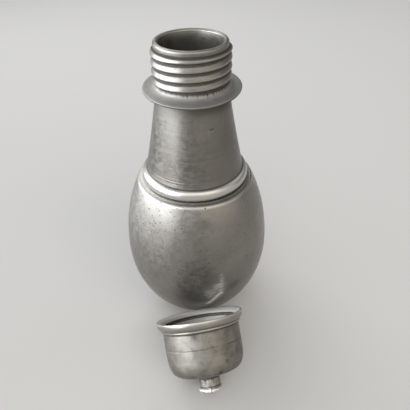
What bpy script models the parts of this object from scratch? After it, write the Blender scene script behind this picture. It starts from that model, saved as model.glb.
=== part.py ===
# Pewter feeding bottle with its screw cap taken off. The cap lies tipped on its nipple and the edge of
# its crown, with its rim at the belly. Metres, +Z up. The origin is the centre of the base, on the axis.

import bpy
import bmesh
from math import asin, cos, hypot, pi, radians, sin, sqrt
from mathutils import Matrix, Vector

# Gap that soldered and resting pieces keep to each other
SEAT_GAP = 0.0003

# Body: two cast bowls that lap at the widest line
BODY_RADIUS = 0.03975
BODY_WALL = 0.0020
BASE_RADIUS = 0.0165
BASE_THICKNESS = 0.0025
LOWER_BOWL_HEIGHT = 0.0465
UPPER_BOWL_HEIGHT = 0.0431
SEAM_LAP = 0.0025

# Shoulder ring, which sits on the upper bowl's ledge round the foot of the neck
RING_HEIGHT = 0.0058
RING_PROJECTION = 0.0026
SHOULDER_LEDGE = 0.0022

# Neck, whose spigot passes through the ring into the upper bowl
NECK_HEIGHT = 0.0416
NECK_FOOT_RADIUS = 0.0252
NECK_WALL = 0.0016
NECK_WAIST = 0.00035
NECK_SPIGOT_STEP = 0.0012
NECK_SPIGOT_TAIL = 0.0008

# Flange that the cap's rim closes on
FLANGE_THICKNESS = 0.0011
FLANGE_MARGIN = 0.0006
FLANGE_EDGE = 0.0003

# Threaded mouth, whose spigot passes through the flange into the neck
MOUTH_HEIGHT = 0.0207
MOUTH_BORE_RADIUS = 0.0145
MOUTH_WALL = 0.0029
LIP_WALL = 0.0026
LIP_HEIGHT = 0.0021
LIP_FLARE = 0.0008
MOUTH_SPIGOT_WALL = 0.0011
MOUTH_SPIGOT_DEPTH = 0.0040

# Right-hand thread with rounded ridges
THREAD_PITCH = 0.00415
THREAD_HEIGHT = 0.00125
RIDGE_RADIUS = 0.00175
THREAD_TOP_SPACE = 0.0026
THREAD_FOOT_SPACE = 0.0026
THREAD_START_ANGLE = radians(127)
RIDGE_TAPER_ANGLE = radians(75)
RIDGE_END_SHARE = 0.3
THREAD_CLEARANCE = 0.00025

# Cap: cup, flared rim and nipple
CUP_WALL = 0.0012
CUP_TAPER = 0.0004
CUP_CORNER_RADIUS = 0.0050
CUP_CORNER_DEPTH = 0.0062
CUP_CROWN_THICKNESS = 0.0014
CUP_HEADROOM = 0.0061
CUP_RIDGE_SINK = 0.0003
CUP_RIDGE_TURNS = 2.25
CUP_RIDGE_SETBACK = 0.0020
RIM_HEIGHT = 0.0040
RIM_PROJECTION = 0.0025
RIM_EDGE = 0.0005
RIM_LIP = 0.0007
RIM_FUNNEL_DEPTH = 0.0025
RIM_SKIRT_HEIGHT = 0.0013
RIM_SKIRT_WALL = 0.0006
NIPPLE_LENGTH = 0.00955
NIPPLE_RADIUS = 0.0053
NIPPLE_TIP_RADIUS = 0.0061
NIPPLE_TIP_HEIGHT = 0.0016
NIPPLE_ROOT_RADIUS = 0.0060
NIPPLE_ROOT_HEIGHT = 0.0014
NIPPLE_SPIGOT_RADIUS = 0.0036
NIPPLE_BORE_RADIUS = 0.0016

# Where the loose cap lies: which way its mouth leans, turned from +Y, and its mouth's place across the bottle
CAP_HEADING = radians(12.9)
CAP_MOUTH_X = 0.0009

# Facets round a turned piece, along a bowl's curve, and round one turn of the thread
TURN_STEPS = 48
NIPPLE_STEPS = 24
BOWL_STEPS = 9
ROUND_STEPS = 6
HELIX_STEPS = 24

# Radii that follow from the sizes above
SEAM_LIP = (BODY_WALL - SEAT_GAP) / 2
RING_RADIUS = NECK_FOOT_RADIUS + RING_PROJECTION
SHOULDER_RADIUS = RING_RADIUS + SHOULDER_LEDGE
NECK_SPIGOT_RADIUS = NECK_FOOT_RADIUS - NECK_SPIGOT_STEP
MOUTH_ROOT_RADIUS = MOUTH_BORE_RADIUS + MOUTH_WALL
MOUTH_SPIGOT_RADIUS = MOUTH_BORE_RADIUS + MOUTH_SPIGOT_WALL
NECK_TOP_BORE = MOUTH_SPIGOT_RADIUS + SEAT_GAP
NECK_TOP_RADIUS = NECK_TOP_BORE + NECK_WALL
RIDGE_CENTRE_RADIUS = MOUTH_ROOT_RADIUS + THREAD_HEIGHT - RIDGE_RADIUS
CUP_BORE_RADIUS = MOUTH_ROOT_RADIUS + THREAD_HEIGHT + THREAD_CLEARANCE
CUP_RADIUS = CUP_BORE_RADIUS + CUP_WALL
RIM_BORE_RADIUS = CUP_RADIUS + SEAT_GAP
RIM_RADIUS = RIM_BORE_RADIUS + RIM_PROJECTION
FLANGE_RADIUS = RIM_RADIUS + FLANGE_MARGIN

# Heights of the stacked pieces above the base
SHOULDER_Z = LOWER_BOWL_HEIGHT + UPPER_BOWL_HEIGHT
RING_Z = SHOULDER_Z + SEAT_GAP
NECK_Z = RING_Z + RING_HEIGHT + SEAT_GAP
FLANGE_Z = NECK_Z + NECK_HEIGHT + SEAT_GAP
MOUTH_Z = FLANGE_Z + FLANGE_THICKNESS + SEAT_GAP

# Heights along the cap's own axis, from the nipple's tip to the mouth of the cup
CROWN_Z = NIPPLE_LENGTH + SEAT_GAP
CUP_HEIGHT = MOUTH_HEIGHT + CUP_HEADROOM + CUP_CROWN_THICKNESS
CAP_MOUTH_Z = CROWN_Z + CUP_HEIGHT
CUP_EDGE_Z = CAP_MOUTH_Z - RIM_HEIGHT - SEAT_GAP

# Half-heights of the ellipses that the two bowls follow
LOWER_REACH = LOWER_BOWL_HEIGHT / sqrt(1 - (BASE_RADIUS / BODY_RADIUS) ** 2)
UPPER_REACH = UPPER_BOWL_HEIGHT / sqrt(1 - (SHOULDER_RADIUS / BODY_RADIUS) ** 2)


def arc(centre_x, centre_z, radius_x, radius_z, start, end, steps):
    angles = [start + (end - start) * i / steps for i in range(steps + 1)]
    return [(centre_x + radius_x * cos(a), centre_z + radius_z * sin(a)) for a in angles]


def pewter(name, colour, roughness, metallic=1.0):
    material = bpy.data.materials.new(name)
    material.use_nodes = True
    shader = material.node_tree.nodes["Principled BSDF"]
    shader.inputs["Base Color"].default_value = (*colour, 1.0)
    shader.inputs["Roughness"].default_value = roughness
    shader.inputs["Metallic"].default_value = metallic
    material.diffuse_color = (*colour, 1.0)
    return material


def new_object(name, mesh, collection, location=(0, 0, 0)):
    piece = bpy.data.objects.new(name, mesh)
    piece.location = location
    collection.objects.link(piece)
    return piece


# A closed ring is turned from a loop of points, and a solid on the axis from an open line.
# Both run down the outer side.
def turned(name, profile, material, collection, height=0.0, steps=TURN_STEPS, closed=True):
    edges = [(i, i + 1) for i in range(len(profile) - 1)]
    if closed:
        edges.append((len(profile) - 1, 0))
    mesh = bpy.data.meshes.new(name)
    mesh.from_pydata([(x, 0, z) for x, z in profile], edges, [])
    mesh.materials.append(material)
    piece = new_object(name, mesh, collection, (0, 0, height))
    screw = piece.modifiers.new("Turn", "SCREW")
    screw.axis = "Z"
    screw.angle = 2 * pi
    screw.steps = steps
    screw.render_steps = steps
    screw.use_merge_vertices = True
    screw.merge_threshold = 0.00001
    screw.use_smooth_shade = True
    return piece


# A thread ridge: a right-hand helix of round section whose ends thin out into the wall.
# The wall is on its inside for an outer thread (side 1) and on its outside for an inner one (side -1).
def helix_ridge(name, wall_radius, depth, ridge_radius, side, start_z, start_angle, turns, collection):
    count = int(round(turns * HELIX_STEPS)) + 1
    sweep = turns * 2 * pi
    curve = bpy.data.curves.new(name + "_curve", "CURVE")
    curve.dimensions = "3D"
    curve.bevel_depth = ridge_radius
    curve.bevel_resolution = 2
    curve.use_fill_caps = True
    spline = curve.splines.new("POLY")
    spline.points.add(count - 1)
    for i, point in enumerate(spline.points):
        turn = sweep * i / (count - 1)
        share = min(1.0, turn / RIDGE_TAPER_ANGLE, (sweep - turn) / RIDGE_TAPER_ANGLE)
        share = RIDGE_END_SHARE + (1 - RIDGE_END_SHARE) * share
        radius = wall_radius + side * (depth - ridge_radius) * share
        angle = start_angle + turn
        point.co = (radius * cos(angle), radius * sin(angle), start_z + THREAD_PITCH * turn / (2 * pi), 1)
        point.radius = share
    guide = new_object(name + "_curve", curve, collection)
    bpy.context.view_layer.update()
    evaluated = guide.evaluated_get(bpy.context.evaluated_depsgraph_get())
    mesh = bpy.data.meshes.new_from_object(evaluated)
    ridge = new_object(name, mesh, collection)
    ridge.matrix_world = guide.matrix_world
    bpy.data.objects.remove(guide)
    work = bmesh.new()
    work.from_mesh(mesh)
    bmesh.ops.remove_doubles(work, verts=work.verts, dist=0.000001)
    bmesh.ops.recalc_face_normals(work, faces=work.faces)
    work.to_mesh(mesh)
    work.free()
    mesh.shade_smooth()
    ridge.display_type = "WIRE"
    ridge.hide_render = True
    return ridge


def join_ridge(piece, ridge):
    ridge.parent = piece
    union = piece.modifiers.new("Thread", "BOOLEAN")
    union.operation = "UNION"
    union.solver = "EXACT"
    union.object = ridge


# Where a rising function of one value passes zero, found by halving the span
def solve(function, low, high):
    for _ in range(40):
        middle = (low + high) / 2
        if function(middle) < 0:
            low = middle
        else:
            high = middle
    return low


def body_radius_at(height):
    reach = LOWER_REACH if height < LOWER_BOWL_HEIGHT else UPPER_REACH
    share = (height - LOWER_BOWL_HEIGHT) / reach
    return BODY_RADIUS * sqrt(max(0.0, 1 - share ** 2))


def lower_bowl(parts):
    inner_radius = BODY_RADIUS - BODY_WALL
    inner_reach = LOWER_REACH - BODY_WALL
    seam = LOWER_BOWL_HEIGHT
    floor_angle = -asin((seam - BASE_THICKNESS) / inner_reach)
    base_angle = -asin(seam / LOWER_REACH)
    inside = arc(0, seam, inner_radius, inner_reach, floor_angle, 0, BOWL_STEPS)
    outside = arc(0, seam, BODY_RADIUS, LOWER_REACH, 0, base_angle, BOWL_STEPS)
    lip_top = seam + SEAM_LAP
    lip = [(inner_radius, lip_top), (inner_radius + SEAM_LIP, lip_top), (inner_radius + SEAM_LIP, seam)]
    profile = [(0, BASE_THICKNESS)] + inside + lip + outside + [(0, 0)]
    return turned("lower_bowl", profile, pewter("lower_bowl", (0.36, 0.35, 0.32), 0.36), parts, closed=False)


def upper_bowl(parts):
    inner_radius = BODY_RADIUS - BODY_WALL
    inner_reach = UPPER_REACH - BODY_WALL
    foot = SEAT_GAP
    lap = SEAM_LAP + SEAT_GAP
    top = UPPER_BOWL_HEIGHT
    hole = NECK_SPIGOT_RADIUS + SEAT_GAP
    outside = arc(0, 0, BODY_RADIUS, UPPER_REACH, asin(top / UPPER_REACH), asin(foot / UPPER_REACH), BOWL_STEPS)
    rebate = [(BODY_RADIUS - SEAM_LIP, foot), (BODY_RADIUS - SEAM_LIP, lap)]
    under_ledge = top - BODY_WALL
    inside = arc(
        0, 0, inner_radius, inner_reach, asin(lap / inner_reach), asin(under_ledge / inner_reach), BOWL_STEPS)
    profile = outside + rebate + inside + [(hole, under_ledge), (hole, top)]
    return turned(
        "upper_bowl", profile, pewter("upper_bowl", (0.40, 0.39, 0.36), 0.34), parts, LOWER_BOWL_HEIGHT)


def shoulder_ring(parts):
    half = RING_HEIGHT / 2
    bore = NECK_SPIGOT_RADIUS + SEAT_GAP
    bulge = arc(NECK_FOOT_RADIUS, half, RING_PROJECTION, half, pi / 2, -pi / 2, 2 * ROUND_STEPS)
    profile = bulge + [(bore, 0), (bore, RING_HEIGHT)]
    return turned("shoulder_ring", profile, pewter("shoulder_ring", (0.52, 0.51, 0.47), 0.24), parts, RING_Z)


def neck(parts):
    inner_foot = NECK_SPIGOT_RADIUS - NECK_WALL
    spigot_end = -(RING_HEIGHT + 2 * SEAT_GAP + BODY_WALL + NECK_SPIGOT_TAIL)
    socket = NECK_HEIGHT - MOUTH_SPIGOT_DEPTH
    profile = []
    for i in range(BOWL_STEPS + 1):
        share = i / BOWL_STEPS
        radius = NECK_TOP_RADIUS + (NECK_FOOT_RADIUS - NECK_TOP_RADIUS) * share
        radius -= 4 * NECK_WAIST * share * (1 - share)
        profile.append((radius, NECK_HEIGHT * (1 - share)))
    profile += [(NECK_SPIGOT_RADIUS, 0), (NECK_SPIGOT_RADIUS, spigot_end), (inner_foot, spigot_end)]
    profile += [(inner_foot, 0), (NECK_TOP_BORE, socket), (NECK_TOP_BORE, NECK_HEIGHT)]
    return turned("neck", profile, pewter("neck", (0.38, 0.37, 0.34), 0.34), parts, NECK_Z)


def flange(parts):
    bore = MOUTH_SPIGOT_RADIUS + SEAT_GAP
    edge = FLANGE_RADIUS - FLANGE_EDGE
    top = FLANGE_THICKNESS
    profile = [(edge, top), (FLANGE_RADIUS, top - FLANGE_EDGE), (FLANGE_RADIUS, FLANGE_EDGE), (edge, 0)]
    profile += [(bore, 0), (bore, top)]
    return turned("flange", profile, pewter("flange", (0.30, 0.29, 0.27), 0.55), parts, FLANGE_Z)


def threaded_mouth(parts, cutters):
    lip = LIP_WALL / 2
    lip_z = MOUTH_HEIGHT - lip
    lip_foot = MOUTH_HEIGHT - LIP_HEIGHT
    spigot_end = -(FLANGE_THICKNESS + SEAT_GAP + MOUTH_SPIGOT_DEPTH)
    profile = arc(MOUTH_BORE_RADIUS + lip, lip_z, lip, lip, pi, 0, ROUND_STEPS + 2)
    profile += [(MOUTH_BORE_RADIUS + LIP_WALL, lip_foot), (MOUTH_ROOT_RADIUS, lip_foot - LIP_FLARE)]
    profile += [(MOUTH_ROOT_RADIUS, 0), (MOUTH_SPIGOT_RADIUS, 0), (MOUTH_SPIGOT_RADIUS, spigot_end)]
    profile += [(MOUTH_BORE_RADIUS, spigot_end)]
    mouth = turned("threaded_mouth", profile, pewter("threaded_mouth", (0.42, 0.40, 0.36), 0.32), parts, MOUTH_Z)
    travel = MOUTH_HEIGHT - THREAD_TOP_SPACE - THREAD_FOOT_SPACE
    ridge = helix_ridge(
        "mouth_ridge", MOUTH_ROOT_RADIUS, THREAD_HEIGHT, RIDGE_RADIUS, 1,
        THREAD_FOOT_SPACE, THREAD_START_ANGLE, travel / THREAD_PITCH, cutters)
    join_ridge(mouth, ridge)
    return mouth


def cap_cup(parts, cutters):
    corner_z = CROWN_Z + CUP_CORNER_DEPTH
    corner_x = CUP_RADIUS - CUP_TAPER - CUP_CORNER_RADIUS
    inner_depth = CUP_CORNER_DEPTH - CUP_CROWN_THICKNESS
    hole = NIPPLE_SPIGOT_RADIUS + SEAT_GAP
    profile = [(CUP_RADIUS, CUP_EDGE_Z)]
    profile += arc(corner_x, corner_z, CUP_CORNER_RADIUS, CUP_CORNER_DEPTH, 0, -pi / 2, ROUND_STEPS)
    profile += [(hole, CROWN_Z), (hole, CROWN_Z + CUP_CROWN_THICKNESS)]
    profile += arc(corner_x, corner_z, CUP_CORNER_RADIUS - CUP_WALL, inner_depth, -pi / 2, 0, ROUND_STEPS)
    profile += [(CUP_BORE_RADIUS, CUP_EDGE_Z)]
    cup = turned("cap_cup", profile, pewter("cap_cup", (0.36, 0.35, 0.32), 0.36), parts)
    # The cup's ridge runs midway between the mouth's ridges and fills what they leave, less the clearance.
    centre_radius = CUP_BORE_RADIUS - CUP_RIDGE_SINK
    reach = hypot(centre_radius - RIDGE_CENTRE_RADIUS, THREAD_PITCH / 2)
    ridge_radius = reach - RIDGE_RADIUS - THREAD_CLEARANCE
    start_z = CUP_EDGE_Z - CUP_RIDGE_SETBACK - CUP_RIDGE_TURNS * THREAD_PITCH
    ridge = helix_ridge(
        "cup_ridge", CUP_BORE_RADIUS, ridge_radius + CUP_RIDGE_SINK, ridge_radius, -1,
        start_z, 0.0, CUP_RIDGE_TURNS, cutters)
    join_ridge(cup, ridge)
    return cup


# The rim's outer side, from the thin lip at its mouth down to the skirt round the cup
def rim_outline():
    foot_z = CAP_MOUTH_Z - RIM_HEIGHT
    edge_z = CAP_MOUTH_Z - RIM_EDGE
    skirt = RIM_BORE_RADIUS + RIM_SKIRT_WALL
    roll = arc(skirt, edge_z, RIM_RADIUS - skirt, edge_z - foot_z, 0, -pi / 2, ROUND_STEPS)
    return [(RIM_RADIUS - RIM_EDGE, CAP_MOUTH_Z)] + roll + [(skirt, foot_z - RIM_SKIRT_HEIGHT)]


# Inside, the rim covers the cup's edge, runs flush with the cup's bore and then flares out to its lip.
def cap_rim(parts):
    foot_z = CAP_MOUTH_Z - RIM_HEIGHT
    profile = rim_outline()
    profile += [(RIM_BORE_RADIUS, foot_z - RIM_SKIRT_HEIGHT), (RIM_BORE_RADIUS, foot_z)]
    profile += [(CUP_BORE_RADIUS, foot_z), (CUP_BORE_RADIUS, CAP_MOUTH_Z - RIM_FUNNEL_DEPTH)]
    profile += [(RIM_RADIUS - RIM_EDGE - RIM_LIP, CAP_MOUTH_Z)]
    return turned("cap_rim", profile, pewter("cap_rim", (0.44, 0.43, 0.40), 0.30), parts)


def nipple(parts):
    spigot_top = CROWN_Z + CUP_CROWN_THICKNESS
    profile = [(NIPPLE_SPIGOT_RADIUS, spigot_top), (NIPPLE_SPIGOT_RADIUS, NIPPLE_LENGTH)]
    profile += [(NIPPLE_ROOT_RADIUS, NIPPLE_LENGTH), (NIPPLE_RADIUS, NIPPLE_LENGTH - NIPPLE_ROOT_HEIGHT)]
    profile += [(NIPPLE_RADIUS, 2 * NIPPLE_TIP_HEIGHT), (NIPPLE_TIP_RADIUS, NIPPLE_TIP_HEIGHT)]
    profile += [(NIPPLE_TIP_RADIUS, 0), (NIPPLE_BORE_RADIUS, 0), (NIPPLE_BORE_RADIUS, spigot_top)]
    return turned("nipple", profile, pewter("nipple", (0.33, 0.31, 0.28), 0.42), parts, steps=NIPPLE_STEPS)


# The cap's frame: it lies on its nipple's tip and the round of its crown, one seat gap off the belly.
def cap_frame():
    corner_z = CROWN_Z + CUP_CORNER_DEPTH
    corner_x = CUP_RADIUS - CUP_TAPER - CUP_CORNER_RADIUS

    # How far the round of the crown lies below the nipple's tip when the cap is tipped this far
    def crown_drop(tilt):
        round_reach = hypot(CUP_CORNER_RADIUS * sin(tilt), CUP_CORNER_DEPTH * cos(tilt))
        return (corner_x - NIPPLE_TIP_RADIUS) * sin(tilt) - corner_z * cos(tilt) + round_reach

    tilt = solve(crown_drop, 0, pi / 2)
    turn = Matrix.Rotation(CAP_HEADING, 4, "Z") @ Matrix.Rotation(-tilt, 4, "X")
    axis = turn @ Vector((0, 0, 1))
    tip_z = NIPPLE_TIP_RADIUS * sin(tilt)
    tip_x = CAP_MOUTH_X - axis.x * CAP_MOUTH_Z
    rim_circles = [arc(0, 0, radius, radius, 0, 2 * pi, 4 * TURN_STEPS) for radius, _ in rim_outline()]
    rim_heights = [height for _, height in rim_outline()]
    rim_points = [turn @ Vector((x, y, z)) for circle, z in zip(rim_circles, rim_heights) for x, y in circle]

    def clearance(tip_y):
        places = [point + Vector((tip_x, tip_y, tip_z)) for point in rim_points]
        return min(hypot(p.x, p.y) - body_radius_at(min(p.z, SHOULDER_Z)) for p in places)

    far = -(BODY_RADIUS + CAP_MOUTH_Z + RIM_RADIUS)
    tip_y = solve(lambda y: SEAT_GAP - clearance(y), far, -axis.y * CAP_MOUTH_Z)
    return Matrix.Translation((tip_x, tip_y, tip_z)) @ turn


def build():
    for old in list(bpy.data.objects):
        bpy.data.objects.remove(old)
    parts = bpy.data.collections.new("feeding_bottle")
    cutters = bpy.data.collections.new("thread_ridges")
    bpy.context.scene.collection.children.link(parts)
    bpy.context.scene.collection.children.link(cutters)

    bottle = new_object("bottle_frame", None, parts)
    for piece in (lower_bowl(parts), upper_bowl(parts), shoulder_ring(parts), neck(parts), flange(parts)):
        piece.parent = bottle
    threaded_mouth(parts, cutters).parent = bottle

    cap = new_object("cap_frame", None, parts)
    cap.matrix_world = cap_frame()
    for piece in (cap_cup(parts, cutters), cap_rim(parts), nipple(parts)):
        piece.parent = cap


build()
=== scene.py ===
# A dented pewter feeding bottle with its screw cap lying in front of it.
import math

import bmesh
import bpy
from mathutils import Matrix, Vector, noise


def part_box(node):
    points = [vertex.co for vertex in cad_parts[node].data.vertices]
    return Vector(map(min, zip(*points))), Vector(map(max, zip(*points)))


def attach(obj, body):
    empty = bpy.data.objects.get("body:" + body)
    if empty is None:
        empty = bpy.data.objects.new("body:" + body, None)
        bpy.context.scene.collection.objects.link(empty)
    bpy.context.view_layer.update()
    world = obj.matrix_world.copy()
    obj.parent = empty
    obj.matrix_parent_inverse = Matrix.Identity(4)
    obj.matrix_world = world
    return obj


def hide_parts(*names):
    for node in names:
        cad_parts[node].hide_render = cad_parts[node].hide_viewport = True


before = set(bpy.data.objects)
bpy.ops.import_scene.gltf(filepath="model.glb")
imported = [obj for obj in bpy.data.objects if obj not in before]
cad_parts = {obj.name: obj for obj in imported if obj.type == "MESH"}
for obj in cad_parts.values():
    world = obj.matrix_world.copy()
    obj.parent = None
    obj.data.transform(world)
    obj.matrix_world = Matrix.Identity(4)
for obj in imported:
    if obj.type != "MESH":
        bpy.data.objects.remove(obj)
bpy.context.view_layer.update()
print("frame loaded with", len(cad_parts), "solids")

mm = 0.001  # metres in a millimetre
fullTurn = 2 * math.pi
weldGap = 0.002 * mm  # points nearer than this become one
seat = 0.02 * mm  # hairline between two pieces that were soldered together


# A piece's lengths are given in millimetres, alone or in tuples
def lengths(**given):
    scaled = lambda value: tuple(map(scaled, value)) if isinstance(value, tuple) else value * mm
    return {key: scaled(value) for key, value in given.items()}


# Lines that the lathe pieces are turned from: points are (radius, height)
def arcLine(centre, reach, start, end, steps, power=2.0):
    line = []
    for i in range(steps + 1):
        turn = math.radians(start + (end - start) * i / steps)
        across, along = math.cos(turn), math.sin(turn)
        across = math.copysign(abs(across) ** (2 / power), across)
        along = math.copysign(abs(along) ** (2 / power), along)
        line.append((centre[0] + reach[0] * across, centre[1] + reach[1] * along))
    return line


def bentLine(start, pull, end, steps):
    line = []
    for i in range(steps + 1):
        t = i / steps
        shares = ((1 - t) ** 2, 2 * t * (1 - t), t * t)
        line.append(tuple(sum(s * p for s, p in zip(shares, places)) for places in zip(start, pull, end)))
    return line


def evenly(low, high, count):
    return [low + (high - low) * i / count for i in range(count + 1)]


def closeRows(line, gap):
    rows = [line[0]]
    for a, b in zip(line, line[1:]):
        count = max(1, math.ceil(math.dist(a, b) / gap))
        for i in range(1, count + 1):
            rows.append(tuple(p + (q - p) * i / count for p, q in zip(a, b)))
    return rows


def turnOnLathe(line, steps, closed=True):
    work = bmesh.new()
    points = [work.verts.new((radius, 0, height)) for radius, height in line]
    for a, b in zip(points, points[1:]):
        work.edges.new((a, b))
    if closed:
        work.edges.new((points[-1], points[0]))
    bmesh.ops.spin(
        work, geom=work.verts[:] + work.edges[:], cent=(0, 0, 0), axis=(0, 0, 1),
        angle=fullTurn, steps=steps, use_merge=True)
    bmesh.ops.remove_doubles(work, verts=work.verts, dist=weldGap)
    bmesh.ops.recalc_face_normals(work, faces=work.faces)
    work.normal_update()
    return work


def ease(low, high, value):
    t = min(1.0, max(0.0, (value - low) / (high - low)))
    return t * t * (3 - 2 * t)


def near(place, width, value):
    return math.exp(-((value - place) / width) ** 2)


def turnOf(co):
    return math.atan2(co.y, co.x)


def outOf(co):
    return math.hypot(co.x, co.y)


def sideways(co):
    return Vector((co.x, co.y, 0))


# 1 on the right and in front, away from the key light, and 0 on the left and behind: it sets where shade is
# painted under the ring and the flange, and where light is painted on the ledge
def rightSide(co):
    return 0.5 + 0.5 * math.cos(turnOf(co) + 0.7)


def wobble(co, size, shift=0.0):
    return noise.noise(Vector((co.x / size + shift, co.y / size - shift, co.z / size + 2 * shift)))


# The same from 0 to 1, for hollows that only go inwards
def lowSpots(co, size):
    return 0.5 + 0.5 * wobble(co, size)


# Outside a radius, a turned moulding is worn a little uneven
def wearDown(work, beyond, s):
    for vert in work.verts:
        if outOf(vert.co) > beyond:
            vert.co -= vert.normal * s["unevenness"] * lowSpots(vert.co, s["unevenSize"])


# The rule gives a vertex its masks from 0 to 1: dirt, inside, worn, pitted or matt; dirt and inside also carry
# painted shade, and worn also carries painted highlights
def paintMasks(work, rule):
    layers = work.verts.layers.float
    for name in rule(next(iter(work.verts))):
        layers.new(name)
    for vert in work.verts:
        for name, value in rule(vert).items():
            vert[layers[name]] = min(1.0, max(0.0, value))


def meshObject(work, name, finish):
    mesh = bpy.data.meshes.new(name)
    work.to_mesh(mesh)
    work.free()
    mesh.materials.append(finish)
    made = bpy.data.objects.new(name, mesh)
    bpy.context.scene.collection.objects.link(made)
    return made


# The cap's pieces are made upright and are laid down here
def placePiece(work, masks, look, finish, name, body, slot, *nodes, sharp=40):
    work.normal_update()
    paintMasks(work, masks)
    lying = capPlace if body == "cap" else None
    if lying:
        bmesh.ops.transform(work, matrix=lying, verts=work.verts)
    piece = meshObject(work, name, pewterFinish(finish, look, lying))
    piece.data.shade_smooth()
    piece.data.set_sharp_from_angle(angle=math.radians(sharp))
    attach(piece, body)
    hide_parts(*nodes)
    print("made", name, "with", len(piece.data.polygons), "faces")


# Node helpers: a value is a number, a colour or another node's socket
def addNode(tree, kind, values=None, **settings):
    node = tree.nodes.new(kind)
    for key, setting in settings.items():
        setattr(node, key, setting)
    for key, value in (values or {}).items():
        if isinstance(value, bpy.types.NodeSocket):
            tree.links.new(value, node.inputs[key])
        else:
            node.inputs[key].default_value = value
    return node


def maths(tree, operation, first, second=0.0, third=0.0, clamp=False):
    values = {0: first, 1: second, 2: third}
    return addNode(tree, "ShaderNodeMath", values, operation=operation, use_clamp=clamp).outputs[0]


def vectors(tree, operation, values):
    return addNode(tree, "ShaderNodeVectorMath", values, operation=operation).outputs


def spread(tree, value, low, high, toLow=0.0, toHigh=1.0):
    values = {"Value": value, "From Min": low, "From Max": high, "To Min": toLow, "To Max": toHigh}
    return addNode(tree, "ShaderNodeMapRange", values, interpolation_type="SMOOTHSTEP").outputs[0]


def noiseNode(tree, place, scale, detail, roughness=0.5, distortion=0.0):
    values = {"Vector": place, "Scale": scale, "Detail": detail, "Roughness": roughness, "Distortion": distortion}
    return addNode(tree, "ShaderNodeTexNoise", values).outputs


def blendColour(tree, share, first, second):
    return addNode(tree, "ShaderNodeMix", {0: share, 6: first, 7: second}, data_type="RGBA").outputs[2]


def placeGroup(tree, group, values):
    return addNode(tree, "ShaderNodeGroup", values, node_tree=group).outputs


# Every group takes the place on the surface and some numbers, and gives masks or values
def newGroup(name, numbers, outputs):
    group = bpy.data.node_groups.new(name, "ShaderNodeTree")
    group.interface.new_socket(name="Vector", in_out="INPUT", socket_type="NodeSocketVector")
    for label in numbers:
        group.interface.new_socket(name=label, in_out="INPUT", socket_type="NodeSocketFloat")
    for label in outputs:
        group.interface.new_socket(name=label, in_out="OUTPUT", socket_type="NodeSocketFloat")
    return group, group.nodes.new("NodeGroupInput").outputs, group.nodes.new("NodeGroupOutput").inputs


# Round corrosion pits: some cells of a cell pattern hold a dot, each of its own size
pitEffect = dict(raggedScale=2200.0, raggedness=0.00035, smallest=0.45, softEdge=0.55)


def makePits():
    e = pitEffect
    group, given, made = newGroup("corrosionPits", ("Scale", "Share", "Reach"), ("Mask",))
    shake = noiseNode(group, given["Vector"], e["raggedScale"], detail=1.0)["Color"]
    shake = vectors(group, "SUBTRACT", {0: shake, 1: (0.5, 0.5, 0.5)})[0]
    shake = vectors(group, "SCALE", {0: shake, "Scale": e["raggedness"]})[0]
    place = vectors(group, "ADD", {0: given["Vector"], 1: shake})[0]
    cells = addNode(group, "ShaderNodeTexVoronoi", {"Vector": place, "Scale": given["Scale"]})
    chance = addNode(group, "ShaderNodeSeparateColor", {0: cells.outputs["Color"]})
    size = maths(group, "MULTIPLY", given["Reach"], maths(group, "ADD", chance.outputs[1], e["smallest"]))
    dot = spread(group, maths(group, "DIVIDE", cells.outputs["Distance"], size), 1.0, e["softEdge"])
    kept = maths(group, "LESS_THAN", chance.outputs[0], given["Share"])
    group.links.new(maths(group, "MULTIPLY", dot, kept), made["Mask"])
    return group


# Fine rings left by the lathe, broken up along their length
ringEffect = dict(breakUp=55.0, detail=2.5, roughness=0.65)


def makeRings():
    e = ringEffect
    group, given, made = newGroup("latheRings", ("Fineness", "Radial"), ("Height",))
    axes = addNode(group, "ShaderNodeSeparateXYZ", {0: given["Vector"]}).outputs
    across = maths(group, "ADD", *[maths(group, "POWER", axes[k], 2) for k in (0, 1)])
    across = maths(group, "SQRT", across)
    along = maths(group, "MULTIPLY_ADD", across, given["Radial"], axes[2])
    along = maths(group, "MULTIPLY", along, given["Fineness"])
    broken = [maths(group, "MULTIPLY", axes[k], e["breakUp"]) for k in (0, 1)]
    place = addNode(group, "ShaderNodeCombineXYZ", {0: broken[0], 1: broken[1], 2: along})
    lines = noiseNode(group, place.outputs[0], 1.0, e["detail"], e["roughness"])
    group.links.new(lines["Fac"], made["Height"])
    return group


# Slow cloudy change of tone with a finer mottle in it
cloudEffect = dict(finer=9.0, low=0.3, high=0.7)


def makeClouds():
    e = cloudEffect
    group, given, made = newGroup("tarnishClouds", ("Scale",), ("Tone", "Mottle"))
    slow = noiseNode(group, given["Vector"], given["Scale"], detail=4.0, roughness=0.55, distortion=0.4)
    finer = maths(group, "MULTIPLY", given["Scale"], e["finer"])
    fine = noiseNode(group, given["Vector"], finer, detail=5.0, roughness=0.7)
    for texture, label in ((slow, "Tone"), (fine, "Mottle")):
        group.links.new(spread(group, texture["Fac"], e["low"], e["high"]), made[label])
    return group


# Dirt in the grooves, and painted shade under the ring and in the cap's groove: a painted mask with a ragged
# border
grimeEffect = dict(raggedness=1.3, low=0.12, high=0.8)


def makeGrime():
    e = grimeEffect
    group, given, made = newGroup("grooveGrime", ("Mask", "Scale"), ("Mask",))
    crust = noiseNode(group, given["Vector"], given["Scale"], detail=4.0, roughness=0.65)
    ragged = maths(group, "SUBTRACT", crust["Fac"], 0.5)
    ragged = maths(group, "MULTIPLY_ADD", ragged, e["raggedness"], 1.0)
    mask = maths(group, "MULTIPLY", given["Mask"], ragged)
    group.links.new(spread(group, mask, e["low"], e["high"]), made["Mask"])
    return group


# Hairline scratches in two directions, in patches
scratchEffect = dict(
    turns=((0.4, 0.9, 0.3), (1.3, 0.2, 1.1)), stretch=(0.06, 1.0, 1.0), width=0.012,
    patchScale=90.0, patchLow=0.5, patchHigh=0.65,
)


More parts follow.
